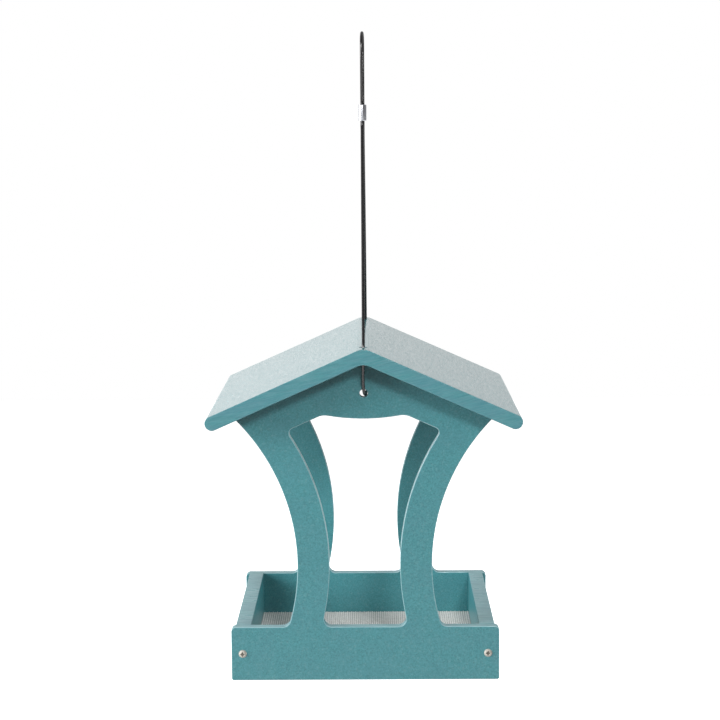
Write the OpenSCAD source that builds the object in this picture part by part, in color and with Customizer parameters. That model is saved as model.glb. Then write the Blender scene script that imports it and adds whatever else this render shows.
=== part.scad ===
/* [Tray] */
// Width of the front and back panels
panel_w = 241; // [200:1:320]
// Thickness of the front and back panels
panel_t = 9.5; // [7:0.5:13]
// Distance between the outer faces of the two panels
tray_l = 216; // [160:1:300]
// Height of the tray's four walls
wall_h = 49.1; // [36:0.1:70]
// Thickness of the two side rails
rail_t = 13.8; // [9:0.1:16]
// How far the rails sit in from the panels' ends
rail_inset = 3.8; // [1:0.1:10]
// Radius of the panels' upper wall corners
wall_corner_r = 4; // [1:0.5:8]
// Radius of the panels' lower corners
base_corner_r = 1.8; // [0.5:0.1:5]

/* [Columns] */
// Height at which the columns stand closest together
waist_z = 105; // [100:0.5:120]
// Distance between the outer curves of the two columns there
waist_w = 120.5; // [100:0.5:140]
// Width of one column there
column_w = 28.7; // [18:0.1:36]
// Radius of a column's outer curve
outer_r = 190; // [170:1:200]
// Radius of a column's inner curve
inner_r = 219; // [190:1:230]
// Radius of the fillets at the columns' feet
foot_r = 7; // [5:0.5:12]

/* [Gable] */
// Height of the gable's peak, where its two slopes would meet
gable_h = 290.5; // [285:0.5:300]
// Distance between the two peaks of the window's top edge
peak_gap = 73; // [60:1:90]
// Board left between the window's sloping edges and the roof
gable_band = 30; // [24:0.1:34]
// How far the window's top edge hangs down in the middle
pendant_drop = 3.6; // [1:0.1:6]
// Radius at the window's two peaks
peak_r = 15; // [8:1:25]
// Radius at the window's outer top corners
window_r = 5; // [3:0.5:9]
// Height of the cable hole's centre
cable_hole_z = 260.6; // [259.6:0.1:261.6]

/* [Roof] */
// Width of the roof across its eaves
roof_w = 277; // [250:0.5:340]
// Length of the roof from front to back
roof_l = 279; // [276:1:284]
// Thickness of the roof sheet
roof_t = 12.7; // [9:0.1:16]
// Slope of each half of the roof in degrees
roof_slope = 23.9; // [20:0.1:28]
// Radius of the bend at the top of the ridge
ridge_r = 16; // [8:1:24]
// Radius of the bend under the ridge
ridge_inner_r = 12; // [6:1:20]
// Distance from the roof's ends to its cable holes
roof_hole_inset = 20; // [18:0.5:22]

/* [Floor screen] */
// Height of the screen's underside above the base
screen_z = 8; // [4:0.5:20]
// Thickness of the screen
screen_t = 1.2; // [0.8:0.1:2]
// Depth of the grooves that hold the screen
groove_depth = 3; // [2:0.5:4]
// Number of gaps across the screen
screen_nx = 16; // [8:1:18]
// Number of gaps along the screen
screen_ny = 15; // [8:1:16]
// Width of the bars between the gaps
screen_bar = 2.4; // [1.5:0.1:4]

/* [Screws] */
// Diameter of the screw heads
head_d = 7.4; // [6:0.1:9]
// Height of the screw heads
head_h = 2.2; // [1.5:0.1:3]
// Diameter of the screw threads
shank_d = 3.5; // [3:0.1:4.5]
// Length of the screws under their heads
screw_l = 32; // [25:1:45]
// How far the screws sit outwards from the rails' middles
screw_shift = 0.5; // [-1:0.1:1]

/* [Cable] */
// Diameter of the cable over its coating
cable_d = 2.7; // [2:0.1:3.2]
// Diameter of the cable holes in the gables and the roof
cable_hole_d = 7.4; // [7:0.1:10]
// Length of the crimped sleeve
ferrule_l = 14.8; // [12:0.1:16]
// Wall of the crimped sleeve
ferrule_wall = 1.7; // [1:0.1:2.5]

/* [Fits] */
// Gap between the roof and the gables that carry it
seat_gap = 0.3; // [0.1:0.1:1]
// Gap around the screen's edges and over it in its grooves
screen_gap = 0.4; // [0.2:0.1:0.8]
// Gap around the screws in the panels
screw_gap = 0.2; // [0.1:0.1:0.5]

/* [Hidden] */
$fn = 96;
teal = [0.32, 0.57, 0.60];
aluminium = [0.74, 0.75, 0.76];
steel = [0.86, 0.84, 0.78];
black = [0.10, 0.10, 0.11];

slope_tan = tan(roof_slope);
slope_cos = cos(roof_slope);
slope_sin = sin(roof_slope);
rail_l = tray_l - 2 * panel_t;
rail_x = panel_w / 2 - rail_inset - rail_t / 2;
screw_x = rail_x + screw_shift;
screw_z = wall_h / 2;
outer_x = waist_w / 2 + outer_r;
inner_x = waist_w / 2 - column_w + inner_r;
window_line_z = gable_h - gable_band / slope_cos;
peak_x = peak_gap / 2;
peak_z = window_line_z - peak_x * slope_tan;
pendant_r = (pow(peak_x, 2) + pow(pendant_drop, 2)) / (2 * pendant_drop);
pendant_z = peak_z - pendant_drop + pendant_r;
roof_under_z = gable_h + seat_gap;
roof_over_z = roof_under_z + roof_t / slope_cos;
eave_x = roof_w / 2 - roof_t / 2;
eave_z = (roof_under_z + roof_over_z) / 2 - eave_x * slope_tan;
roof_hole_y = roof_l / 2 - roof_hole_inset;
slot_h = screen_t + screen_gap;
slot_x = rail_x - rail_t / 2 + groove_depth;
screen_w = 2 * (slot_x - screen_gap);
screen_l = rail_l + 2 * (groove_depth - screen_gap);
overcut = 1;
fillet_tip = 0.2;

// Route of the cable's middle above the roof: up from the front roof hole, through the
// sleeve, round the loop and back down to the rear roof hole.
ferrule_z = 507;
upper_route = [
  [0, -119.5, 297.5], [0, -119.5, 300], [0, -118.5, 304], [0, -116, 308.6],
  [-0.2, -60, 399.5], [-0.5, -9, 483], [-0.5, -4.4, 490], [-0.6, -2, 495],
  [-0.6, -1.4, 499], [-0.6, -1.4, 515], [-0.6, -2.2, 521], [-0.6, -4.8, 531],
  [-0.6, -9, 548], [-0.6, -10.8, 560], [-0.6, -11, 566], [-0.6, -9.8, 571.6],
  [-0.5, -6.8, 576.4], [-0.2, -2.4, 579.6], [0.2, 2.4, 579.6], [0.5, 6.8, 576.4],
  [0.6, 9.8, 571.6], [0.6, 11, 566], [0.6, 10.8, 560], [0.6, 9, 548],
  [0.6, 4.8, 531], [0.6, 2.2, 521], [0.6, 1.4, 515], [0.6, 1.4, 499],
  [0.6, 2, 495], [0.6, 4.4, 490], [0.6, 9, 483], [1, 60, 399.5],
  [1.2, 116, 308.6], [1.2, 118.5, 304], [1.2, 119.5, 300], [1.2, 119.5, 297.5]
];
// Route of the cable's middle below the roof: down from the front roof hole, through
// both gable holes and up to the rear roof hole.
lower_route = [
  [0, -119.5, 297.5], [0, -119.5, 293], [-0.1, -119.2, 289], [-0.3, -118.2, 285],
  [-0.4, -116.5, 280.5], [-0.4, -114.5, 275], [-0.3, -112.6, 270], [0, -110.6, 264],
  [0.2, -109.9, 262.6], [0.4, -109.1, 261.5], [0.7, -108, 260.5], [1, -106.7, 259.8],
  [1.3, -105.3, 259.3], [1.5, -103.8, 259.1], [1.6, -101, 259.1], [1.7, -98.5, 259.1],
  [2.2, -88, 258.9], [3.2, -72, 258.6], [4.2, -50, 258.4], [4.8, -25, 258.3],
  [5, 0, 258.3],
  [4.8, 25, 258.3], [4.2, 50, 258.4], [3.2, 72, 258.6], [2.2, 88, 258.9],
  [1.7, 98.5, 259.1], [1.6, 101, 259.1], [1.6, 103.8, 259.1], [1.6, 105.3, 259.3],
  [1.5, 106.7, 259.8], [1.4, 108, 260.5], [1.4, 109.1, 261.5], [1.3, 109.9, 262.6],
  [1.3, 110.6, 264], [1.2, 112.6, 270], [1.2, 114.5, 275], [1.2, 116.5, 280.5],
  [1.2, 118.2, 285], [1.2, 119.2, 289], [1.2, 119.5, 293], [1.2, 119.5, 297.5]
];

// Height of a fillet's middle under a sloping line, at distance x from the centre plane.
function under_line(x, r) = window_line_z - abs(x) * slope_tan - r / slope_cos;

// Half-width at which a circle of radius r, below the window's sloping line, touches a
// larger circle that is centred at [cx, cz] with the distance d between their middles.
// The line z = a - b x meets the circle (x - cx)^2 + (z - cz)^2 = d^2 at two places,
// and side picks one of them.
function touch_x(cx, cz, d, r, side) =
  let (
    a = window_line_z - r / slope_cos - cz,
    b = slope_tan,
    qa = 1 + b * b,
    qb = -2 * (cx + a * b),
    qc = cx * cx + a * a - d * d
  )
  (-qb + side * sqrt(qb * qb - 4 * qa * qc)) / (2 * qa);

// Unit vector from p to q.
function unit(p, q) = (q - p) / norm(q - p);

// Fills a hollow corner with a round fillet: deep lies in the board, and the fillet's
// circle, of radius r about middle, touches the edges at a and b. The fillet's thin tips
// stop a little before they run out there.
module fillet(deep, a, b, middle, r) {
  difference() {
    polygon([deep, a + fillet_tip * unit(a, deep), middle, b + fillet_tip * unit(b, deep)]);
    translate(middle) circle(r = r);
  }
}

// Cuts a raised corner round: beyond lies outside the board.
module round_corner(beyond, a, b, middle, r) {
  difference() {
    polygon([beyond, a, middle, b]);
    translate(middle) circle(r = r);
  }
}

module both_sides() {
  children();
  mirror([1, 0]) children();
}

// Opening between the columns, with rounded corners.
module window_void() {
  far = panel_w / 2;
  inner_c = [inner_x, waist_z];
  peak_c = [0, pendant_z];
  difference() {
    polygon([
      [-far, wall_h], [far, wall_h],
      [far, window_line_z - far * slope_tan], [peak_x, peak_z],
      [peak_x, peak_z + overcut], [-peak_x, peak_z + overcut], [-peak_x, peak_z],
      [-far, window_line_z - far * slope_tan]
    ]);
    both_sides() translate(inner_c) circle(r = inner_r);
    translate(peak_c) circle(r = pendant_r);
    both_sides() {
      // Foot, between the wall's top and the inner curve.
      foot_z = wall_h + foot_r;
      foot_mid = [inner_x - sqrt(pow(inner_r + foot_r, 2) - pow(waist_z - foot_z, 2)), foot_z];
      foot_touch = inner_c + inner_r * unit(inner_c, foot_mid);
      fillet([foot_touch[0] + foot_r, wall_h - foot_r], [foot_mid[0], wall_h], foot_touch, foot_mid, foot_r);

      // Outer top corner, between the sloping line and the inner curve.
      top_x = touch_x(inner_x, waist_z, inner_r + window_r, window_r, -1);
      top_mid = [top_x, under_line(top_x, window_r)];
      top_touch = inner_c + inner_r * unit(inner_c, top_mid);
      top_line = top_mid + window_r * [slope_sin, slope_cos];
      fillet(top_touch + [window_r * 2, window_r], top_line, top_touch, top_mid, window_r);

      // Peak, between the sloping line and the pendant curve.
      crest_x = touch_x(0, pendant_z, pendant_r + peak_r, peak_r, 1);
      crest_mid = [crest_x, under_line(crest_x, peak_r)];
      crest_touch = peak_c + pendant_r * unit(peak_c, crest_mid);
      crest_line = crest_mid + peak_r * [slope_sin, slope_cos];
      fillet([peak_x, peak_z + peak_r], crest_line, crest_touch, crest_mid, peak_r);
    }
  }
}

// Hollow beside the right-hand column, with its foot rounded.
module side_void() {
  outer_c = [outer_x, waist_z];
  foot_z = wall_h + foot_r;
  foot_mid = [outer_x - sqrt(pow(outer_r - foot_r, 2) - pow(waist_z - foot_z, 2)), foot_z];
  foot_touch = outer_c + outer_r * unit(outer_c, foot_mid);
  difference() {
    translate(outer_c) circle(r = outer_r);
    translate([0, wall_h - 2 * outer_r]) square([outer_x * 2, 2 * outer_r]);
    fillet([foot_touch[0] - foot_r / 2, wall_h - foot_r], [foot_mid[0], wall_h], foot_touch, foot_mid, foot_r);
  }
}

// Outline of a panel, seen from the front, with x across and y up.
module panel_outline() {
  half = panel_w / 2;
  // The board's blunt peak stays clear of the bend under the ridge.
  blunt = ridge_inner_r * slope_sin;
  blunt_z = gable_h - blunt * slope_tan;
  difference() {
    polygon([
      [-half, 0], [half, 0], [half, gable_h - half * slope_tan],
      [blunt, blunt_z], [-blunt, blunt_z], [-half, gable_h - half * slope_tan]
    ]);
    window_void();
    both_sides() {
      side_void();
      round_corner([half + overcut, wall_h + overcut], [half - wall_corner_r, wall_h + overcut],
        [half + overcut, wall_h - wall_corner_r], [half - wall_corner_r, wall_h - wall_corner_r], wall_corner_r);
      round_corner([half + overcut, -overcut], [half - base_corner_r, -overcut],
        [half + overcut, base_corner_r], [half - base_corner_r, base_corner_r], base_corner_r);
    }
    translate([0, cable_hole_z]) circle(d = cable_hole_d);
  }
}

// A panel with its outer face at y = 0 and its inner face at y = panel_t.
module panel() {
  difference() {
    translate([0, panel_t, 0]) rotate([90, 0, 0]) linear_extrude(panel_t) panel_outline();
    // Groove for the screen.
    translate([-slot_x, panel_t - groove_depth, screen_z])
      cube([2 * slot_x, groove_depth + overcut, slot_h]);
    // Holes for the screws.
    for (side = [-1, 1])
      translate([side * screw_x, -overcut, screw_z])
        rotate([-90, 0, 0]) cylinder(d = shank_d + 2 * screw_gap, h = panel_t + 2 * overcut);
  }
}

module front_panel() {
  color(teal) translate([0, -tray_l / 2, 0]) panel();
}

module back_panel() {
  color(teal) rotate([0, 0, 180]) translate([0, -tray_l / 2, 0]) panel();
}

// A side rail on the left, grooved on its inner face and drilled at both ends.
module rail() {
  pilot_d = shank_d - 0.6;
  pilot_l = screw_l - panel_t + overcut;
  translate([-rail_x, 0, 0]) difference() {
    translate([-rail_t / 2, -rail_l / 2, 0]) cube([rail_t, rail_l, wall_h]);
    translate([rail_t / 2 - groove_depth, -rail_l / 2 - overcut, screen_z])
      cube([groove_depth + overcut, rail_l + 2 * overcut, slot_h]);
    for (end = [0, 180])
      translate([-screw_shift, 0, 0]) rotate([0, 0, end]) translate([0, -rail_l / 2 - overcut, screw_z])
        rotate([-90, 0, 0]) cylinder(d = pilot_d, h = pilot_l + overcut);
  }
}

module left_rail() {
  color(teal) rail();
}

module right_rail() {
  color(teal) mirror([1, 0, 0]) rail();
}

// The mesh floor, with fewer and wider gaps than the fine wire mesh of the real one.
module floor_screen() {
  pitch_x = (screen_w - screen_bar) / screen_nx;
  pitch_y = (screen_l - screen_bar) / screen_ny;
  color(aluminium) translate([-screen_w / 2, -screen_l / 2, screen_z])
    linear_extrude(screen_t) difference() {
      square([screen_w, screen_l]);
      for (i = [0 : screen_nx - 1], j = [0 : screen_ny - 1])
        translate([screen_bar + i * pitch_x, screen_bar + j * pitch_y])
          square([pitch_x - screen_bar, pitch_y - screen_bar]);
    }
}

// The roof's section, seen from the front: two slabs with round eaves, bent at the ridge.
module roof_section() {
  across = roof_t / 2 * [slope_sin, slope_cos];
  along = roof_t * [slope_cos, -slope_sin];
  eave = [eave_x, eave_z];
  over = eave + along + across;
  under = eave + along - across;
  ridge_z = roof_over_z - ridge_r / slope_cos;
  ridge_touch = [ridge_r * slope_sin, ridge_z + ridge_r * slope_cos];
  inner_z = roof_under_z - ridge_inner_r / slope_cos;
  inner_touch = [ridge_inner_r * slope_sin, inner_z + ridge_inner_r * slope_cos];
  difference() {
    polygon([
      [0, roof_over_z], over, under, inner_touch,
      [-inner_touch[0], inner_touch[1]], [-under[0], under[1]], [-over[0], over[1]]
    ]);
    // Bend under the ridge.
    translate([0, inner_z]) circle(r = ridge_inner_r);
    // Bend over the ridge.
    difference() {
      polygon([
        [0, roof_over_z + overcut], ridge_touch + [0, overcut], ridge_touch,
        [0, ridge_z], [-ridge_touch[0], ridge_touch[1]], [-ridge_touch[0], ridge_touch[1] + overcut]
      ]);
      translate([0, ridge_z]) circle(r = ridge_r);
    }
    // Round eaves.
    both_sides() difference() {
      polygon([
        eave + 2 * across, over + along + across, under + along - across, eave - 2 * across
      ]);
      translate(eave) circle(d = roof_t);
    }
  }
}

module roof() {
  color(teal) difference() {
    translate([0, roof_l / 2, 0]) rotate([90, 0, 0]) linear_extrude(roof_l) roof_section();
    for (end = [-1, 1])
      translate([0, end * roof_hole_y, roof_under_z - roof_t])
        cylinder(d = cable_hole_d, h = 3 * roof_t);
  }
}

// A screw that points along +y, with the underside of its head at y = 0.
module screw() {
  tip_l = shank_d;
  crown_r = (pow(head_d / 2, 2) + pow(head_h, 2)) / (2 * head_h);
  slot_w = head_d * 0.14;
  slot_l = head_d * 0.55;
  slot_depth = head_h * 0.7;
  rotate([-90, 0, 0]) difference() {
    union() {
      cylinder(d = shank_d, h = screw_l - tip_l);
      translate([0, 0, screw_l - tip_l]) cylinder(d1 = shank_d, d2 = 0.5, h = tip_l);
      // Domed head.
      rotate_extrude() intersection() {
        translate([0, crown_r - head_h]) circle(r = crown_r);
        translate([0, -head_h]) square([head_d / 2, head_h]);
      }
    }
    // Cross recess.
    for (turn = [0, 90])
      rotate([0, 0, turn]) translate([-slot_l / 2, -slot_w / 2, -head_h - overcut])
        cube([slot_l, slot_w, slot_depth + overcut]);
  }
}

// Places a screw at one corner of the tray; end is 0 at the front and 180 at the back.
module placed_screw(side, end) {
  color(steel) rotate([0, 0, end]) translate([side * screw_x, -tray_l / 2, screw_z]) screw();
}

module front_left_screw() placed_screw(-1, 0);

module front_right_screw() placed_screw(1, 0);

module back_left_screw() placed_screw(1, 180);

module back_right_screw() placed_screw(-1, 180);

// Direction of a route at its point i.
function route_dir(route, i) =
  let (last = len(route) - 1)
  unit(route[max(i - 1, 0)], route[min(i + 1, last)]);

// One ring of the tube at point i, square to the route.
function ring(route, i, r, sides) =
  let (
    dir = route_dir(route, i),
    across = [1, 0, 0] - dir * dir[0],
    u = across / norm(across),
    v = cross(dir, u)
  )
  [for (k = [0 : sides - 1]) route[i] + r * (cos(360 * k / sides) * u + sin(360 * k / sides) * v)];

// A round tube along a route, with a ring of points at each of the route's points.
module tube(route, d, sides = 8) {
  rings = len(route);
  points = [for (i = [0 : rings - 1]) each ring(route, i, d / 2, sides)];
  walls = [
    for (i = [0 : rings - 2], k = [0 : sides - 1])
      let (a = i * sides + k, b = i * sides + (k + 1) % sides)
      each [[a, a + sides, b], [b, a + sides, b + sides]]
  ];
  first_cap = [for (k = [1 : sides - 2]) [0, k, k + 1]];
  last = (rings - 1) * sides;
  last_cap = [for (k = [1 : sides - 2]) [last, last + k + 1, last + k]];
  polyhedron(points, concat(walls, first_cap, last_cap));
}

module cable_upper() {
  color(black) tube(upper_route, cable_d);
}

module cable_lower() {
  color(black) tube(lower_route, cable_d);
}

// The crimped sleeve: an oval bar with one hole for each strand.
module ferrule() {
  strand_x = 0.6;
  strand_y = 1.4;
  color(aluminium) translate([0, 0, ferrule_z - ferrule_l / 2])
    linear_extrude(ferrule_l) difference() {
      union() {
        for (s = [-1, 1])
          translate([s * strand_x, s * strand_y]) circle(d = cable_d + 2 * ferrule_wall);
        turn = atan2(strand_y, strand_x);
        rotate(turn) square([2 * norm([strand_x, strand_y]), cable_d + 2 * ferrule_wall], center = true);
      }
      for (s = [-1, 1])
        translate([s * strand_x, s * strand_y]) circle(d = cable_d);
    }
}

front_panel();
back_panel();
left_rail();
right_rail();
floor_screen();
roof();
front_left_screw();
front_right_screw();
back_left_screw();
back_right_screw();
cable_upper();
cable_lower();
ferrule();
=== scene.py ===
import math

import bmesh
import bpy
from mathutils import Matrix, Vector


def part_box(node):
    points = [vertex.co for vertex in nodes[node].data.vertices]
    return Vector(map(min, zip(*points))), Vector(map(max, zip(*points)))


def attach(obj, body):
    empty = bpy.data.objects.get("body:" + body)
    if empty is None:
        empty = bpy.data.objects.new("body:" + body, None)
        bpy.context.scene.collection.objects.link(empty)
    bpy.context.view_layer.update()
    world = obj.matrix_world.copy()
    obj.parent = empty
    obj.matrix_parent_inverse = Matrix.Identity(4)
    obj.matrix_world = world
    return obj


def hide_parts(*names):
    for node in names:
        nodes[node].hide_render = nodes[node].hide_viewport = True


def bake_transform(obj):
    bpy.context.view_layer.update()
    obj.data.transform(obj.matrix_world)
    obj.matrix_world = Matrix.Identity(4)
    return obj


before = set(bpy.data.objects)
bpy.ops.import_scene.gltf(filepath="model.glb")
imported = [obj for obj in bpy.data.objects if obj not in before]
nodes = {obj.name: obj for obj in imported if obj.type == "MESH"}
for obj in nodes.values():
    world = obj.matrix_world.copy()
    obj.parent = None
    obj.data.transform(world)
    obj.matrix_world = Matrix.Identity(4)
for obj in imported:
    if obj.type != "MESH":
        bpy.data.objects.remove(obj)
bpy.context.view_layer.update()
MM = 0.001

# Camera, solved from the photograph's 720 pixel frame
FRAME_PX = 720
SENSOR_MM = 36.0
FOCAL_PX = 1906.0
CAMERA_AT_MM = (8.69, -1775.1, 500.65)
CAMERA_PITCH_DOWN = math.radians(7.187)
CAMERA_ROLL = math.radians(-0.389)
CAMERA_YAW = math.radians(-0.403)
CLIP_NEAR, CLIP_FAR = 0.05, 50

# Cable
CABLE_D = 2.7 * MM
CABLE_SIDES = 16
CABLE_STEP = 1.5 * MM
ROOF_HOLE_AT = (0.0, -119.5, 297.5)
UPPER_ROUTE_MM = [
    (0, -119.5, 297.5), (0, -119.5, 300), (0, -118.5, 304), (0, -116, 308.6),
    (-0.2, -60, 399.5), (-0.5, -9, 483), (-0.5, -4.4, 490), (-0.6, -2, 495),
    (-0.6, -1.4, 499), (-0.6, -1.4, 515), (-0.6, -2.2, 521), (-0.6, -4.8, 531),
    (-0.6, -9, 548), (-0.6, -10.8, 560), (-0.6, -11, 566), (-0.6, -9.8, 571.6),
    (-0.5, -6.8, 576.4), (-0.2, -2.4, 579.6), (0.2, 2.4, 579.6), (0.5, 6.8, 576.4),
    (0.6, 9.8, 571.6), (0.6, 11, 566), (0.6, 10.8, 560), (0.6, 9, 548),
    (0.6, 4.8, 531), (0.6, 2.2, 521), (0.6, 1.4, 515), (0.6, 1.4, 499),
    (0.6, 2, 495), (0.6, 4.4, 490), (0.6, 9, 483), (1, 60, 399.5),
    (1.2, 116, 308.6), (1.2, 118.5, 304), (1.2, 119.5, 300), (1.2, 119.5, 297.5),
]
LOWER_ROUTE_MM = [
    (0, -119.5, 297.5), (0, -119.5, 293), (-0.1, -119.2, 289), (-0.3, -118.2, 285),
    (-0.4, -116.5, 280.5), (-0.4, -114.5, 275), (-0.3, -112.6, 270), (0, -110.6, 264),
    (0.2, -109.9, 262.6), (0.4, -109.1, 261.5), (0.7, -108, 260.5), (1, -106.7, 259.8),
    (1.3, -105.3, 259.3), (1.5, -103.8, 259.1), (1.6, -101, 259.1), (1.7, -98.5, 259.1),
    (2.2, -88, 258.9), (3.2, -72, 258.6), (4.2, -50, 258.4), (4.8, -25, 258.3),
    (5, 0, 258.3),
    (4.8, 25, 258.3), (4.2, 50, 258.4), (3.2, 72, 258.6), (2.2, 88, 258.9),
    (1.7, 98.5, 259.1), (1.6, 101, 259.1), (1.6, 103.8, 259.1), (1.6, 105.3, 259.3),
    (1.5, 106.7, 259.8), (1.4, 108, 260.5), (1.4, 109.1, 261.5), (1.3, 109.9, 262.6),
    (1.3, 110.6, 264), (1.2, 112.6, 270), (1.2, 114.5, 275), (1.2, 116.5, 280.5),
    (1.2, 118.2, 285), (1.2, 119.2, 289), (1.2, 119.5, 293), (1.2, 119.5, 297.5),
]

# Sleeve round both strands. A higher FLAT_SPREAD puts fewer points on its flat sides.
STRAND_AT_MM = (0.6, 1.4, 0)
SLEEVE_WALL = 1.7 * MM
SLEEVE_EDGE = 0.5 * MM
SLEEVE_SIDES = 64
FLAT_SPREAD = 6

# Boards. FLAT and LEVEL are limits for one part of a unit normal.
EASED_EDGE = 0.6 * MM
SAWN_EDGE = 0.5 * MM
EASE_STEPS = 4
CORNER_STEPS = 4
SHARP_ANGLE = math.radians(35)
STRAIGHT = math.radians(0.05)
FLAT = 0.999
LEVEL = 0.1
WELD = 0.02 * MM
CLOSE_POINTS = 0.1 * MM

# Holes. An outline narrower than the first size is a screw hole, and than the second a drilled one.
SCREW_HOLE_MOST = 6 * MM
DRILLED_MOST = 10 * MM
ROOF_HOLE_R = 3.7 * MM
ROOF_HOLE_L = 40 * MM
HOLE_SIDES = 48

# Woven floor: square mesh of round wires, whose rise is for those along X and those along Y
WIRE_PITCH = 2.08 * MM
WIRE_D = 0.6 * MM
WIRE_SIDES = 8
WIRE_RISE = (-0.08 * MM, 0.52 * MM)

# Screws
HEAD_H = 2.2 * MM
HEAD_ROWS = 22
HEAD_SPOKES = 96
SHANK_R = 1.75 * MM
SHANK_SIDES = 16
PLAIN_SHANK_L = 2 * MM
THREAD_PITCH = 1.4 * MM
THREAD_DEPTH = 0.45 * MM
THREAD_ROWS = 8
TIP_L = 3.5 * MM
TIP_FLAT = 0.4 * MM
TIP_BLUNT = 0.08
SUNK = 0.25 * MM

# The cross recess, as shares of the head's radius and, for its floor, of the head's height
ARM_L, ARM_W, ARM_SLOPE = 0.60, 0.17, 0.10
ARM_WIDEST, ARM_TAPER = 1.35, 0.6
RECESS_FLOOR, RECESS_RISE = 0.25, 0.45

# Studio
FLOOR_Z = -0.35
FLOOR_HALF = 4.0
LIT_POINT = (0, 0, 0.2)
FILL = 0.13
FLOOR_MIRRORED = 0.55

# How bright the surround is in reflections, along X and along Y
MIRRORED = {
    "X": {"From Min": -0.1, "From Max": 0.7, "To Min": 1.0, "To Max": 0.25},
    "Y": {"From Min": -0.5, "From Max": 0.5, "To Min": 0.45, "To Max": 1.0},
}

# Colours are linear
TEAL_DEEP = (0.029, 0.156, 0.176, 1)
TEAL_PALE = (0.061, 0.239, 0.259, 1)
TEAL_SCUFFED = (0.19, 0.31, 0.36, 1)
FLECK_PALE = (0.147, 0.287, 0.287, 1)
FLECK_DARK = (0.029, 0.107, 0.127, 1)
CLOUD = (0.057, 0.167, 0.202, 1)
PATCH = (0.047, 0.167, 0.222, 1)
ROUTED_DEEP = (0.058, 0.210, 0.230, 1)
ROUTED_PALE = (0.112, 0.325, 0.345, 1)
# Rim colours: a painted highlight, paler than the routed edge, along the eased rims
RIM_HIGHLIGHT_DEEP = (0.170, 0.340, 0.360, 1)
RIM_HIGHLIGHT_PALE = (0.320, 0.500, 0.520, 1)
# Wire colours: the wires along Y are painted paler as a highlight and those along X darker as shade;
# both are the same zinc-coated wire
WIRE_ALONG_HIGHLIGHT = (0.92, 0.92, 0.90, 1), (0.80, 0.80, 0.78, 1)
WIRE_ACROSS_SHADE = (0.52, 0.525, 0.51, 1), (0.43, 0.435, 0.42, 1)
SCREW_HEAD = (0.47, 0.45, 0.41, 1), (0.40, 0.385, 0.345, 1)
# The cross recess is painted darker: painted shade in the recess
SCREW_RECESS_SHADE = (0.20, 0.19, 0.165, 1), (0.14, 0.135, 0.115, 1)
SLEEVE_PALE = (0.62, 0.63, 0.67, 1)
SLEEVE_DULL = (0.54, 0.55, 0.59, 1)
VINYL = (0.007, 0.007, 0.008, 1)
VINYL_DUSTY = (0.014, 0.013, 0.013, 1)
FLOOR_GREY = (0.82, 0.82, 0.82, 1)
WHITE = (1, 1, 1, 1)

# Finish
ROOF_SKIN = 0.74
SKIN_WEAR = 0.26
SKIN_ROUGHNESS = 0.15
PEBBLE_H = 0.15 * MM
GRAIN_H = 0.06 * MM
WIRE_FILM_H = 0.02 * MM
SCREW_FILM_H = 0.01 * MM
DRAWN_H = 0.02 * MM
VINYL_H = 0.01 * MM
ROUTED_MARKS = 0.04 * MM
SAWN_MARKS = 0.10 * MM
ROOF_SAW_TURN = (0, math.radians(12), 0)


def make_camera():
    """Camera at the photograph's place and angle."""
    pitch, yaw, roll = CAMERA_PITCH_DOWN, CAMERA_YAW, CAMERA_ROLL
    ahead = Vector((math.sin(yaw) * math.cos(pitch), math.cos(yaw) * math.cos(pitch), -math.sin(pitch)))
    level = Vector((math.cos(yaw), -math.sin(yaw), 0))
    above = level.cross(ahead)
    right = level * math.cos(roll) + above * math.sin(roll)
    up = above * math.cos(roll) - level * math.sin(roll)
    data = bpy.data.cameras.new("camera")
    data.sensor_width = SENSOR_MM
    data.lens = SENSOR_MM * FOCAL_PX / FRAME_PX
    data.clip_start, data.clip_end = CLIP_NEAR, CLIP_FAR
    camera = bpy.data.objects.new("camera", data)
    bpy.context.scene.collection.objects.link(camera)
    turn = Matrix((right, up, -ahead)).transposed().to_4x4()
    camera.matrix_world = Matrix.Translation(Vector(CAMERA_AT_MM) * MM) @ turn
    bpy.context.scene.camera = camera


def add_mesh(name, points, faces, material):
    """A new smooth mesh object at the origin, with its points in the row frame."""
    mesh = bpy.data.meshes.new(name)
    mesh.from_pydata(points, [], faces)
    mesh.update()
    mesh.materials.append(material)
    mesh.shade_smooth()
    obj = bpy.data.objects.new(name, mesh)
    bpy.context.scene.collection.objects.link(obj)
    return obj


def ring_faces(rings, sides, first=0):
    """Quads that join rings of points, each ring with the same number of sides."""
    faces = []
    for i in range(rings - 1):
        for k in range(sides):
            a = first + i * sides + k
            b = first + i * sides + (k + 1) % sides
            faces.append((a, b, b + sides, a + sides))
    return faces


# Shader building


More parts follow.
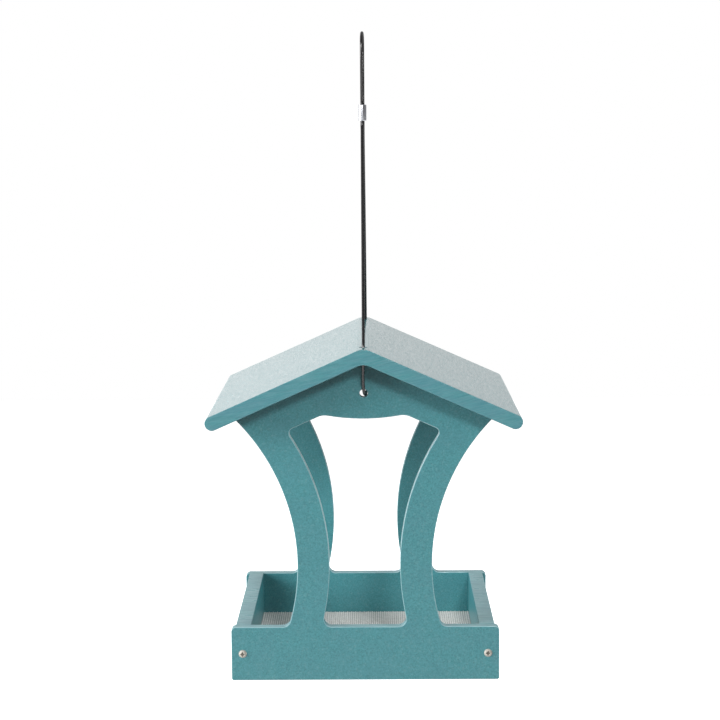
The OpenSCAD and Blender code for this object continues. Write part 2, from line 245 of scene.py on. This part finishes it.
class Shader:
    """A material's node tree with one Principled shader, and short ways to add to it."""

    def __init__(self, name):
        self.material = bpy.data.materials.new(name)
        self.material.use_nodes = True
        self.tree = self.material.node_tree
        self.tree.nodes.clear()
        out = self.tree.nodes.new("ShaderNodeOutputMaterial")
        self.shader = self.tree.nodes.new("ShaderNodeBsdfPrincipled")
        self.tree.links.new(self.shader.outputs["BSDF"], out.inputs["Surface"])
        self.place = self.node("ShaderNodeTexCoord").outputs["Object"]

    def node(self, kind, settings=None, inputs=None):
        made = self.tree.nodes.new(kind)
        for key, value in (settings or {}).items():
            setattr(made, key, value)
        for key, value in (inputs or {}).items():
            self.put(made.inputs[key], value)
        return made

    def put(self, socket, value):
        if isinstance(value, bpy.types.NodeSocket):
            self.tree.links.new(value, socket)
        else:
            socket.default_value = value

    def set(self, **inputs):
        for key, value in inputs.items():
            self.put(self.shader.inputs[key.replace("_", " ")], value)

    def stretched(self, scale, turn=(0, 0, 0)):
        """Object coordinates, turned and then scaled along each axis."""
        inputs = {"Vector": self.place, "Rotation": turn}
        turned = self.node("ShaderNodeMapping", inputs=inputs).outputs[0]
        return self.node("ShaderNodeMapping", inputs={"Vector": turned, "Scale": scale}).outputs[0]

    def noise(self, scale, detail=2.0, rough=0.5, place=None):
        inputs = {"Vector": place or self.place, "Scale": scale, "Detail": detail, "Roughness": rough}
        return self.node("ShaderNodeTexNoise", inputs=inputs).outputs[0]

    def cells(self, scale):
        """A random value in each of many small cells."""
        found = self.node("ShaderNodeTexVoronoi", inputs={"Vector": self.place, "Scale": scale})
        return self.node("ShaderNodeSeparateColor", inputs={"Color": found.outputs["Color"]}).outputs[0]

    def span(self, value, low, high, to_low=0.0, to_high=1.0):
        """Maps low..high of a value to to_low..to_high and holds it there."""
        limits = {"From Min": low, "From Max": high, "To Min": to_low, "To Max": to_high}
        return self.node("ShaderNodeMapRange", inputs={"Value": value, **limits}).outputs[0]

    def math(self, operation, a, b):
        return self.node("ShaderNodeMath", {"operation": operation}, {0: a, 1: b}).outputs[0]

    def blend(self, amount, a, b):
        """Mixes colour a with colour b."""
        mixed = self.node("ShaderNodeMix", {"data_type": "RGBA"})
        self.put(mixed.inputs["Factor"], amount)
        self.put(mixed.inputs[6], a)
        self.put(mixed.inputs[7], b)
        return mixed.outputs[2]

    def bump(self, height, distance, strength=1.0):
        inputs = {"Height": height, "Distance": distance, "Strength": strength}
        return self.node("ShaderNodeBump", inputs=inputs).outputs[0]


def sheet_material(name, skin=0.0):
    """Granular moulded face of the plastic sheet. A harder skin gleams at a low angle."""
    s = Shader(name)
    grain = s.noise(820, 3, 0.62)
    flecks = s.cells(760)
    clouds = s.noise(38, 3, 0.55)
    tone = s.blend(s.span(grain, 0.33, 0.67), TEAL_DEEP, TEAL_PALE)
    tone = s.blend(s.span(flecks, 0.86, 1.0, 0, 0.30), tone, FLECK_PALE)
    tone = s.blend(s.span(flecks, 0.14, 0.0, 0, 0.35), tone, FLECK_DARK)
    tone = s.blend(s.span(clouds, 0.35, 0.65, 0, 0.22), tone, CLOUD)
    height = s.math("ADD", s.noise(1500, 2, 0.6), s.math("MULTIPLY", grain, 0.6))
    s.set(
        Base_Color=tone,
        Roughness=s.span(grain, 0.3, 0.7, 0.38, 0.28),
        Normal=s.bump(height, GRAIN_H, 0.55),
    )
    if skin:
        pebbles = s.bump(s.noise(300, 2, 0.6), PEBBLE_H)
        wear = s.noise(1, 3, 0.7, s.stretched((430, 150, 430)))
        worn = s.span(wear, 0.36, 0.64, skin - SKIN_WEAR, skin + SKIN_WEAR)
        s.set(Coat_Weight=worn, Coat_Roughness=SKIN_ROUGHNESS, Coat_Normal=pebbles)
    return s.material


def cut_material(name, deep, pale, marks, turn=(0, 0, 0)):
    """Sawn or routed edge, streaked along the turned X axis by tool marks of the given depth."""
    s = Shader(name)
    streaks = s.noise(1, 3, 0.6, s.stretched((60, 300, 1000), turn))
    patches = s.noise(1, 2, 0.5, s.stretched((30, 60, 110), turn))
    scuffs = s.noise(1, 3, 0.6, s.stretched((70, 250, 800), turn))
    grain = s.noise(900, 2, 0.6)
    tone = s.blend(s.span(streaks, 0.34, 0.66), deep, pale)
    tone = s.blend(s.span(patches, 0.4, 0.62, 0, 0.3), tone, PATCH)
    tone = s.blend(s.span(grain, 0.3, 0.7, 0.25, 0.0), tone, deep)
    tone = s.blend(s.span(scuffs, 0.3, 0.7, 0, 0.28), tone, TEAL_SCUFFED)
    height = s.math("ADD", streaks, s.math("MULTIPLY", grain, 0.35))
    s.set(
        Base_Color=tone,
        Roughness=s.span(streaks, 0.3, 0.7, 0.36, 0.26),
        Normal=s.bump(height, marks, 0.5),
    )
    return s.material


def wire_material(name, pale, dull):
    """Zinc-coated wire, mottled between a pale and a dull tone."""
    s = Shader(name)
    film = s.noise(260, 3, 0.6)
    s.set(
        Base_Color=s.blend(s.span(film, 0.35, 0.7), pale, dull),
        Metallic=0.2,
        Roughness=s.span(film, 0.3, 0.7, 0.48, 0.62),
        Normal=s.bump(s.noise(5000, 2), WIRE_FILM_H, 0.4),
    )
    return s.material


def screw_material(name, pale, dull):
    """Plated steel, mottled between a pale and a dull tone."""
    s = Shader(name)
    film = s.noise(700, 3, 0.6)
    s.set(
        Base_Color=s.blend(s.span(film, 0.3, 0.7), pale, dull),
        Metallic=0.8,
        Roughness=s.span(film, 0.3, 0.7, 0.68, 0.80),
        Normal=s.bump(s.noise(4000, 2), SCREW_FILM_H, 0.4),
    )
    return s.material


def sleeve_material():
    """Bright aluminium, drawn along Z."""
    s = Shader("aluminium_sleeve")
    drawn = s.noise(1, 3, 0.6, s.stretched((3500, 3500, 160)))
    s.set(
        Base_Color=s.blend(s.span(drawn, 0.3, 0.7), SLEEVE_PALE, SLEEVE_DULL),
        Metallic=1.0,
        Roughness=s.span(drawn, 0.3, 0.7, 0.28, 0.36),
        Normal=s.bump(drawn, DRAWN_H, 0.5),
    )
    return s.material


def cable_material():
    """Smooth black vinyl, slightly dusty."""
    s = Shader("black_vinyl")
    dust = s.noise(480, 3, 0.6)
    s.set(
        Base_Color=s.blend(s.span(dust, 0.4, 0.75), VINYL, VINYL_DUSTY),
        Roughness=s.span(dust, 0.3, 0.7, 0.20, 0.30),
        Normal=s.bump(s.noise(500, 1), VINYL_H, 0.1),
    )
    return s.material


# Cords


def smooth_path(route, step):
    """Points in metres, about a step apart, on a smooth curve through a route's millimetre points."""
    points = [Vector(p) * MM for p in route]
    ends = [2 * points[0] - points[1], *points, 2 * points[-1] - points[-2]]
    path = [points[0]]
    for p0, p1, p2, p3 in zip(ends, ends[1:], ends[2:], ends[3:]):
        t1 = math.sqrt((p1 - p0).length)
        t2 = t1 + math.sqrt((p2 - p1).length)
        t3 = t2 + math.sqrt((p3 - p2).length)
        count = max(1, round((p2 - p1).length / step))
        for n in range(1, count + 1):
            t = t1 + (t2 - t1) * n / count
            a1 = p0.lerp(p1, t / t1)
            a2 = p1.lerp(p2, (t - t1) / (t2 - t1))
            a3 = p2.lerp(p3, (t - t2) / (t3 - t2))
            b1 = a1.lerp(a2, t / t2)
            b2 = a2.lerp(a3, (t - t1) / (t3 - t1))
            path.append(b1.lerp(b2, (t - t1) / (t2 - t1)))
    return path


def tube(name, path, diameter, sides, material):
    """A round tube along a path, closed at both ends."""
    points = []
    last = len(path) - 1
    for i, p in enumerate(path):
        along = (path[min(i + 1, last)] - path[max(i - 1, 0)]).normalized()
        across = (Vector((1, 0, 0)) - along * along.x).normalized()
        over = along.cross(across)
        for k in range(sides):
            angle = math.tau * k / sides
            points.append(p + diameter / 2 * (math.cos(angle) * across + math.sin(angle) * over))
    faces = ring_faces(len(path), sides)
    faces.append(tuple(reversed(range(sides))))
    faces.append(tuple(range(last * sides, (last + 1) * sides)))
    return add_mesh(name, points, faces, material)


def make_cable(name, route, node, material):
    """A cable along a route in millimetres, in a CAD node's place, and its path."""
    path = smooth_path(route, CABLE_STEP)
    cable = tube(name, path, CABLE_D, CABLE_SIDES, material)
    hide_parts(node)
    return cable, path


def make_cables(material):
    """The cable above and below the roof."""
    upper, upper_path = make_cable("hanging_cable_upper", UPPER_ROUTE_MM, "cable_upper", material)
    lower, lower_path = make_cable("hanging_cable_lower", LOWER_ROUTE_MM, "cable_lower", material)
    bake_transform(upper)
    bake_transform(lower)
    return upper, upper_path, lower, lower_path


def make_sleeve(material):
    """The crimped oval sleeve round both strands, with rounded ends."""
    strand = Vector(STRAND_AT_MM) * MM
    low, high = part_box("ferrule")
    middle = (low.z + high.z) / 2
    half_l = (high.z - low.z) / 2
    outer_r = CABLE_D / 2 + SLEEVE_WALL
    along = strand.normalized()
    across = Vector((-along.y, along.x, 0))
    turns = [math.pi / 2 * k / CORNER_STEPS for k in range(CORNER_STEPS + 1)]
    rings = [(SLEEVE_EDGE * (1 - math.sin(t)), SLEEVE_EDGE * (1 - math.cos(t)) - half_l) for t in turns]
    rings += [(inset, -h) for inset, h in reversed(rings)]
    points = []
    for inset, h in rings:
        r = outer_r - inset
        for k in range(SLEEVE_SIDES):
            angle = math.tau * k / SLEEVE_SIDES
            c, sn = math.cos(angle), math.sin(angle)
            shift = strand.length * max(-1.0, min(1.0, c * FLAT_SPREAD))
            p = along * (shift + r * c) + across * (r * sn)
            points.append(Vector((p.x, p.y, middle + h)))
    last = (len(rings) - 1) * SLEEVE_SIDES
    faces = ring_faces(len(rings), SLEEVE_SIDES)
    faces.append(tuple(reversed(range(SLEEVE_SIDES))))
    faces.append(tuple(range(last, last + SLEEVE_SIDES)))
    sleeve = add_mesh("crimped_sleeve", points, faces, material)
    sleeve.data.polygons[-1].use_smooth = sleeve.data.polygons[-2].use_smooth = False
    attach(sleeve, "feeder")
    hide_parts("ferrule")
    return sleeve


# Boards


def end_outlines(node, side):
    """Outlines of a CAD board's flat face at its lowest (side -1) or highest (side 1) Y.

    Each is a list of (x, z), and seen from the front it has the board on its left. Screw holes are
    left out.
    """
    bm = bmesh.new()
    bm.from_mesh(nodes[node].data)
    bmesh.ops.remove_doubles(bm, verts=bm.verts, dist=WELD)
    end_y = max(v.co.y * side for v in bm.verts)
    flat = [f for f in bm.faces if f.normal.y * side > FLAT and f.verts[0].co.y * side > end_y - WELD]
    inside = set(flat)
    following = {}
    for face in flat:
        for loop in face.loops:
            if not all(f in inside for f in loop.edge.link_faces):
                following[loop.vert] = loop.link_loop_next.vert
    outlines = []
    while following:
        first = next(iter(following))
        chain = [first]
        vert = following.pop(first)
        while vert is not first:
            chain.append(vert)
            vert = following.pop(vert)
        outline = [Vector((v.co.x, v.co.z)) for v in chain]
        outlines.append(outline if side < 0 else outline[::-1])
    bm.free()
    return [thinned(outline) for outline in outlines if width(outline) > SCREW_HOLE_MOST]


def width(outline):
    return max(p.x for p in outline) - min(p.x for p in outline)


def thinned(outline):
    """The outline without points that lie close together or in line with their neighbours."""
    kept = []
    for i, p in enumerate(outline):
        before = kept[-1] if kept else outline[-1]
        after = outline[(i + 1) % len(outline)]
        if (p - before).length < CLOSE_POINTS:
            continue
        if (p - before).angle(after - p, 0.0) > STRAIGHT:
            kept.append(p)
    return kept


def side_normals(outline):
    """Outward unit normal of each side of an outline; side i runs from point i to the next."""
    normals = []
    for p, q in zip(outline, outline[1:] + outline[:1]):
        d = (q - p).normalized()
        normals.append(Vector((d.y, -d.x)))
    return normals


def corner_rounded(outline, radius):
    """The outline with its sharp corners cut round."""
    normals = side_normals(outline)
    points = []
    for i, p in enumerate(outline):
        n0, n1 = normals[i - 1], normals[i]
        turn = n0.angle_signed(n1)
        if abs(turn) < SHARP_ANGLE:
            points.append(p)
            continue
        mitre = (n0 + n1) / (1 + n0.dot(n1))
        bulge = 1 if turn < 0 else -1
        middle = p - bulge * radius * mitre
        for k in range(CORNER_STEPS + 1):
            n = n0.slerp(n1, k / CORNER_STEPS)
            points.append(middle + bulge * radius * n)
    return points


def eased_board(name, node, outlines, ease):
    """A board with the outlines, over a CAD node's span along Y, with both its rims eased round.

    Its ends have material 0, its sides 1 and its rims 2, but a drilled hole's rims have 1.
    """
    low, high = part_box(node)
    turns = [math.pi / 2 * k / EASE_STEPS for k in range(EASE_STEPS + 1)] if ease else [math.pi / 2]
    rings = [(math.sin(t), -math.cos(t), low.y + ease * (1 - math.cos(t))) for t in turns]
    rings += [(out, -along, low.y + high.y - y) for out, along, y in reversed(rings)]
    points, faces, normals, kinds = [], [], [], []
    caps = ([], [])
    for outline in outlines:
        sides = side_normals(outline)
        rim = 1 if width(outline) < DRILLED_MOST else 2
        count, first = len(outline), len(points)
        for out, along, y in rings:
            for i, p in enumerate(outline):
                n0, n1 = sides[i - 1], sides[i]
                q = p - ease * (1 - out) * (n0 + n1) / (1 + n0.dot(n1))
                points.append(Vector((q.x, y, q.y)))
        for r in range(len(rings) - 1):
            for i in range(count):
                j = (i + 1) % count
                ring_a, ring_b = first + r * count, first + (r + 1) * count
                faces.append((ring_a + i, ring_b + i, ring_b + j, ring_a + j))
                for ring, at in ((r, i), (r + 1, i), (r + 1, j), (r, j)):
                    normals.append(rim_normal(rings[ring], sides, i, at))
                kinds.append(1 if r == len(turns) - 1 else rim)
        last = first + (len(rings) - 1) * count
        caps[0].append(range(first, first + count))
        caps[1].append(range(last, last + count))
    for cap, facing in zip(caps, (-1, 1)):
        corners = [k for ring in cap for k in ring]
        for tri in filled([[points[k] for k in ring] for ring in cap]):
            a, b, c = (corners[k] for k in tri)
            up = (points[b] - points[a]).cross(points[c] - points[a]).y
            faces.append((a, b, c) if up * facing > 0 else (c, b, a))
            normals += [Vector((0, facing, 0))] * 3
            kinds.append(0)
    return board_mesh(name, points, faces, normals, kinds)


def filled(rings):
    """Triangles that fill flat rings of points, each triangle as three places in their joined list."""
    bm = bmesh.new()
    edges = []
    for ring in rings:
        verts = [bm.verts.new(p) for p in ring]
        edges += [bm.edges.new(pair) for pair in zip(verts, verts[1:] + verts[:1])]
    bm.verts.index_update()
    bmesh.ops.triangle_fill(bm, use_beauty=True, edges=edges)
    triangles = [tuple(v.index for v in face.verts) for face in bm.faces]
    bm.free()
    return triangles


def rim_normal(ring, sides, side, at):
    """Normal at a ring's point, smooth along the outline except round its sharp corners."""
    out, along, _ = ring
    n = sides[side]
    neighbour = sides[at - 1] if at == side else sides[at % len(sides)]
    if n.angle(neighbour) < SHARP_ANGLE:
        n = (n + neighbour).normalized()
    return Vector((n.x * out, along, n.y * out))


def board_mesh(name, points, faces, normals, kinds):
    """An object of the faces, with a normal for each of their corners and a material for each face."""
    mesh = bpy.data.meshes.new(name)
    mesh.from_pydata(points, [], faces)
    mesh.polygons.foreach_set("material_index", kinds)
    mesh.polygons.foreach_set("use_smooth", [True] * len(faces))
    mesh.update()
    mesh.normals_split_custom_set(normals)
    board = bpy.data.objects.new(name, mesh)
    bpy.context.scene.collection.objects.link(board)
    return board


def finish_board(board, node, body, materials):
    """Gives a board its materials and puts it in a CAD node's place."""
    for material in materials:
        board.data.materials.append(material)
    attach(board, body)
    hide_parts(node)


def make_panel(name, node, side, materials):
    """A front or back board, with its rims eased round inside and outside."""
    board = eased_board(name, node, end_outlines(node, side), EASED_EDGE)
    finish_board(board, node, "feeder", materials)


def make_side_board(name, node, materials):
    """A tray side, whose long edges are eased and whose ends butt against the panels."""
    outline = corner_rounded(end_outlines(node, -1)[0], SAWN_EDGE)
    board = eased_board(name, node, [outline], 0.0)
    for face in board.data.polygons:
        face.material_index = 0 if abs(face.normal.x) > FLAT else 1
    finish_board(board, node, "feeder", materials)


def hole_cutter(places, radius, length, material):
    """An object of upright cylinders, to cut holes with."""
    bm = bmesh.new()
    for place in places:
        bmesh.ops.create_cone(
            bm, cap_ends=True, segments=HOLE_SIDES, radius1=radius, radius2=radius, depth=length,
            matrix=Matrix.Translation(place),
        )
    mesh = bpy.data.meshes.new("hole_cutter")
    bm.to_mesh(mesh)
    bm.free()
    mesh.materials.append(material)
    cutter = bpy.data.objects.new("hole_cutter", mesh)
    bpy.context.scene.collection.objects.link(cutter)
    return cutter


def make_roof(materials):
    """The bent roof sheet: sawn ends with eased rims, round eaves and two cable holes."""
    roof = eased_board("bent_roof", "roof", end_outlines("roof", -1), SAWN_EDGE)
    for material in materials:
        roof.data.materials.append(material)
    hole = Vector(ROOF_HOLE_AT) * MM
    places = (hole, Vector((hole.x, -hole.y, hole.z)))
    cutter = hole_cutter(places, ROOF_HOLE_R, ROOF_HOLE_L, materials[0])
    cut = roof.modifiers.new("cable_holes", "BOOLEAN")
    cut.object = cutter
    cut.solver = "EXACT"
    cut.material_mode = "TRANSFER"
    drilled = bpy.data.meshes.new_from_object(roof.evaluated_get(bpy.context.evaluated_depsgraph_get()))
    roof.modifiers.clear()
    bpy.data.objects.remove(cutter)
    roof.data = drilled
    for face in drilled.polygons:
        n = face.normal
        in_hole = abs(n.z) < LEVEL and abs(face.center.x) < ROOF_HOLE_R
        face.material_index = 1 if in_hole or abs(n.y) > LEVEL else 0
    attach(roof, "roof")
    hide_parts("roof")


def make_boards():
    """The panels, the tray's sides and the roof, with their materials."""
    board = (
        sheet_material("board_sheet_face"),
        cut_material("board_routed_edge", ROUTED_DEEP, ROUTED_PALE, ROUTED_MARKS),
        # The eased rims get a paler copy of the routed edge: a painted highlight
        cut_material("board_eased_rim_highlight", RIM_HIGHLIGHT_DEEP, RIM_HIGHLIGHT_PALE, ROUTED_MARKS),
    )
    make_panel("front_board", "front_panel", -1, board)
    make_panel("back_board", "back_panel", 1, board)
    make_side_board("left_side_board", "left_rail", board[:2])
    make_side_board("right_side_board", "right_rail", board[:2])
    sawn = cut_material("roof_sawn_edge", TEAL_DEEP, TEAL_PALE, SAWN_MARKS, ROOF_SAW_TURN)
    make_roof((sheet_material("roof_sheet_face", ROOF_SKIN), sawn))


# Woven floor


def make_floor_mesh(materials):
    """Plain weave of round wires over the CAD screen's area, painted brighter along Y than along X: a
    painted highlight on the wires along Y and painted shade on those along X.
    """
    low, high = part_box("floor_screen")
    middle = (low + high) / 2
    counts = [int((high[a] - low[a]) / WIRE_PITCH) for a in (0, 1)]
    places = [
        [middle[a] + (i - (counts[a] - 1) / 2) * WIRE_PITCH for i in range(counts[a])] for a in (0, 1)
    ]
    points, faces, kinds = [], [], []
    for run, across in ((1, 0), (0, 1)):
        for i, side in enumerate(places[across]):
            stops = [(low[run], 0.0)]
            stops += [(s, WIRE_RISE[run] * (-1) ** (i + j)) for j, s in enumerate(places[run])]
            stops.append((high[run], 0.0))
            first = len(points)
            for s, lift in stops:
                for k in range(WIRE_SIDES):
                    angle = math.tau * (k + 0.5) / WIRE_SIDES
                    p = [0.0, 0.0, middle.z + lift + WIRE_D / 2 * math.sin(angle)]
                    p[run] = s
                    p[across] = side + WIRE_D / 2 * math.cos(angle)
                    points.append(p)
            wire = ring_faces(len(stops), WIRE_SIDES, first)
            wire.append(tuple(reversed(range(first, first + WIRE_SIDES))))
            wire.append(tuple(range(len(points) - WIRE_SIDES, len(points))))
            faces += wire if run == 0 else [tuple(reversed(f)) for f in wire]
        kinds += [across] * (len(faces) - len(kinds))
    screen = add_mesh("woven_floor", points, faces, materials[0])
    screen.data.materials.append(materials[1])
    screen.data.polygons.foreach_set("material_index", kinds)
    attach(screen, "feeder")
    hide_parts("floor_screen")


# Screws


def dome_height(r, head_r, head_h):
    """Height of the plain dome at a distance from its middle."""
    dome_r = (head_r**2 + head_h**2) / (2 * head_h)
    return math.sqrt(max(0.0, dome_r**2 - r**2)) - dome_r + head_h


def head_height(x, y, head_r, head_h):
    """Height of the domed head at a place across it, with its cross recess sunk in."""
    r = math.hypot(x, y)
    dome = dome_height(r, head_r, head_h)
    arm_l, arm_w, slope = head_r * ARM_L, head_r * ARM_W, head_r * ARM_SLOPE
    inside = -head_r
    for a, b in ((x, y), (y, x)):
        half_w = arm_w * (ARM_WIDEST - ARM_TAPER * min(1.0, abs(a) / arm_l))
        inside = max(inside, min(arm_l - abs(a), half_w - abs(b)))
    sunk = min(1.0, max(0.0, (inside + slope) / (2 * slope)))
    floor = head_h * (RECESS_FLOOR + RECESS_RISE * min(1.0, r / arm_l))
    return dome + (floor - dome) * sunk * sunk * (3 - 2 * sunk) if floor < dome else dome


def make_screw(name, node, materials):
    """A pan-head cross-recess screw with a threaded shank, in the CAD screw's place.

    What lies deeper than SUNK below its plain dome has material 1, painted darker as shade in the cross
    recess, and the rest 0.
    """
    low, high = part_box(node)
    centre = (low + high) / 2
    outward = -1 if centre.y < 0 else 1
    head_r = (high.x - low.x) / 2
    shank_l = high.y - low.y - HEAD_H
    seat = (low.y if outward < 0 else high.y) - outward * HEAD_H

    def at(x, up, y):
        """Place of a point x and up from the axis and y out from the seat."""
        return (centre.x + outward * x, seat + outward * y, centre.z + up)

    points = [at(0, 0, head_height(0, 0, head_r, HEAD_H))]
    for i in range(1, HEAD_ROWS + 1):
        r = head_r * math.sin(math.pi / 2 * i / HEAD_ROWS)
        for k in range(HEAD_SPOKES):
            angle = math.tau * k / HEAD_SPOKES
            x, up = r * math.cos(angle), r * math.sin(angle)
            points.append(at(x, up, head_height(x, up, head_r, HEAD_H)))
    faces = [(1 + (k + 1) % HEAD_SPOKES, 1 + k, 0) for k in range(HEAD_SPOKES)]
    faces += ring_faces(HEAD_ROWS, HEAD_SPOKES, 1)

    rows = round((shank_l - TIP_FLAT) / (THREAD_PITCH / THREAD_ROWS))
    first = len(points)
    faces.append(tuple(range(first - HEAD_SPOKES, first)))
    for i in range(rows + 1):
        depth = shank_l * i / rows
        taper = min(1.0, (shank_l - depth) / TIP_L + TIP_BLUNT)
        for k in range(SHANK_SIDES):
            turn = (depth / THREAD_PITCH - k / SHANK_SIDES) % 1.0
            ridge = max(0.0, 1 - abs(turn - 0.5) * 4) if depth > PLAIN_SHANK_L else 0.0
            r = (SHANK_R - THREAD_DEPTH * (1 - ridge)) * taper
            angle = math.tau * k / SHANK_SIDES
            points.append(at(r * math.cos(angle), r * math.sin(angle), -depth))
    faces += ring_faces(rows + 1, SHANK_SIDES, first)
    faces.append(tuple(reversed(range(first, first + SHANK_SIDES))))
    faces.append(tuple(range(len(points) - SHANK_SIDES, len(points))))
    screw = add_mesh(name, points, faces, materials[0])
    screw.data.materials.append(materials[1])
    for face in screw.data.polygons:
        mean = face.center
        x, up, y = mean.x - centre.x, mean.z - centre.z, outward * (mean.y - seat)
        face.material_index = int(0 < y < dome_height(math.hypot(x, up), head_r, HEAD_H) - SUNK)
    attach(screw, "feeder")
    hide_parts(node)


# Studio


def make_stage():
    """Pale floor well below the hanging feeder.

    It shows white, is dimmer in reflections, and lights nothing.
    """
    s = Shader("pale_floor")
    seen = s.node("ShaderNodeLightPath").outputs["Is Camera Ray"]
    glow = s.span(seen, 0.0, 1.0, FLOOR_MIRRORED, 1.0)
    s.set(Base_Color=FLOOR_GREY, Roughness=0.9, Emission_Color=WHITE, Emission_Strength=glow)
    ways = [(-1, -1), (1, -1), (1, 1), (-1, 1)]
    corners = [(x * FLOOR_HALF, y * FLOOR_HALF, FLOOR_Z) for x, y in ways]
    floor = add_mesh("studio_floor", corners, [(0, 1, 2, 3)], s.material)
    floor.visible_diffuse = False


def make_surround():
    """White for the eye, a dim fill as a light, and in reflections darker in front and to the right."""
    world = bpy.data.worlds.new("surround")
    world.use_nodes = True
    tree = world.node_tree
    background = tree.nodes["Background"]
    background.inputs["Color"].default_value = WHITE
    ray = tree.nodes.new("ShaderNodeLightPath")
    place = tree.nodes.new("ShaderNodeTexCoord")
    split = tree.nodes.new("ShaderNodeSeparateXYZ")
    mirrored = tree.nodes.new("ShaderNodeMath")
    mirrored.operation = "MULTIPLY"
    lit = tree.nodes.new("ShaderNodeMix")
    lit.inputs["B"].default_value = FILL
    seen = tree.nodes.new("ShaderNodeMix")
    seen.inputs["B"].default_value = 1.0
    link = tree.links.new
    link(place.outputs["Generated"], split.inputs[0])
    for i, (axis, values) in enumerate(MIRRORED.items()):
        along = tree.nodes.new("ShaderNodeMapRange")
        for key, value in values.items():
            along.inputs[key].default_value = value
        link(split.outputs[axis], along.inputs["Value"])
        link(along.outputs[0], mirrored.inputs[i])
    link(mirrored.outputs[0], lit.inputs["A"])
    link(ray.outputs["Is Diffuse Ray"], lit.inputs["Factor"])
    link(lit.outputs[0], seen.inputs["A"])
    link(ray.outputs["Is Camera Ray"], seen.inputs["Factor"])
    link(seen.outputs[0], background.inputs["Strength"])
    bpy.context.scene.world = world


def make_lights():
    """A soft key right of the camera, two wide panels on the left, one on the right, two behind."""
    make_surround()
    area_light("key", azimuth=11, elevation=25, distance=2.8, size=0.45, power=43)
    area_light("left_panel", azimuth=-60, elevation=18, distance=2.5, size=1.2, power=44)
    area_light("far_left_panel", azimuth=-70, elevation=12, distance=2.5, size=1.2, power=44)
    soft = (
        area_light("right_panel", azimuth=75, elevation=12, distance=2.5, size=1.2, power=30),
        area_light("back_left_panel", azimuth=-150, elevation=3, distance=2.5, size=1.2, power=24),
        area_light("back_right_panel", azimuth=150, elevation=3, distance=2.5, size=1.2, power=24),
    )
    for light in soft:
        light.visible_glossy = False


def area_light(name, azimuth, elevation, distance, size, power):
    """Square light that faces the feeder. Azimuth 0 is the camera's side, and it grows to the right."""
    az, el = math.radians(azimuth), math.radians(elevation)
    toward = Vector((math.sin(az) * math.cos(el), -math.cos(az) * math.cos(el), math.sin(el)))
    data = bpy.data.lights.new(name, "AREA")
    data.energy = power
    data.size = size
    light = bpy.data.objects.new(name, data)
    light.visible_camera = False
    light.location = Vector(LIT_POINT) + toward * distance
    light.rotation_mode = "QUATERNION"
    light.rotation_quaternion = toward.to_track_quat("Z", "Y")
    bpy.context.scene.collection.objects.link(light)
    return light


make_camera()
bpy.context.scene.view_settings.view_transform = "Standard"
cables = make_cables(cable_material())
sleeve_piece = make_sleeve(sleeve_material())
make_boards()
make_floor_mesh(
    (
        wire_material("screen_wire_along_highlight", *WIRE_ALONG_HIGHLIGHT),
        wire_material("screen_wire_across_shade", *WIRE_ACROSS_SHADE),
    )
)
plated = (
    screw_material("plated_steel", *SCREW_HEAD),
    screw_material("plated_recess_shade", *SCREW_RECESS_SHADE),
)
for corner in ("front_left", "front_right", "back_left", "back_right"):
    make_screw(corner + "_cross_screw", corner + "_screw", plated)
make_stage()
make_lights()
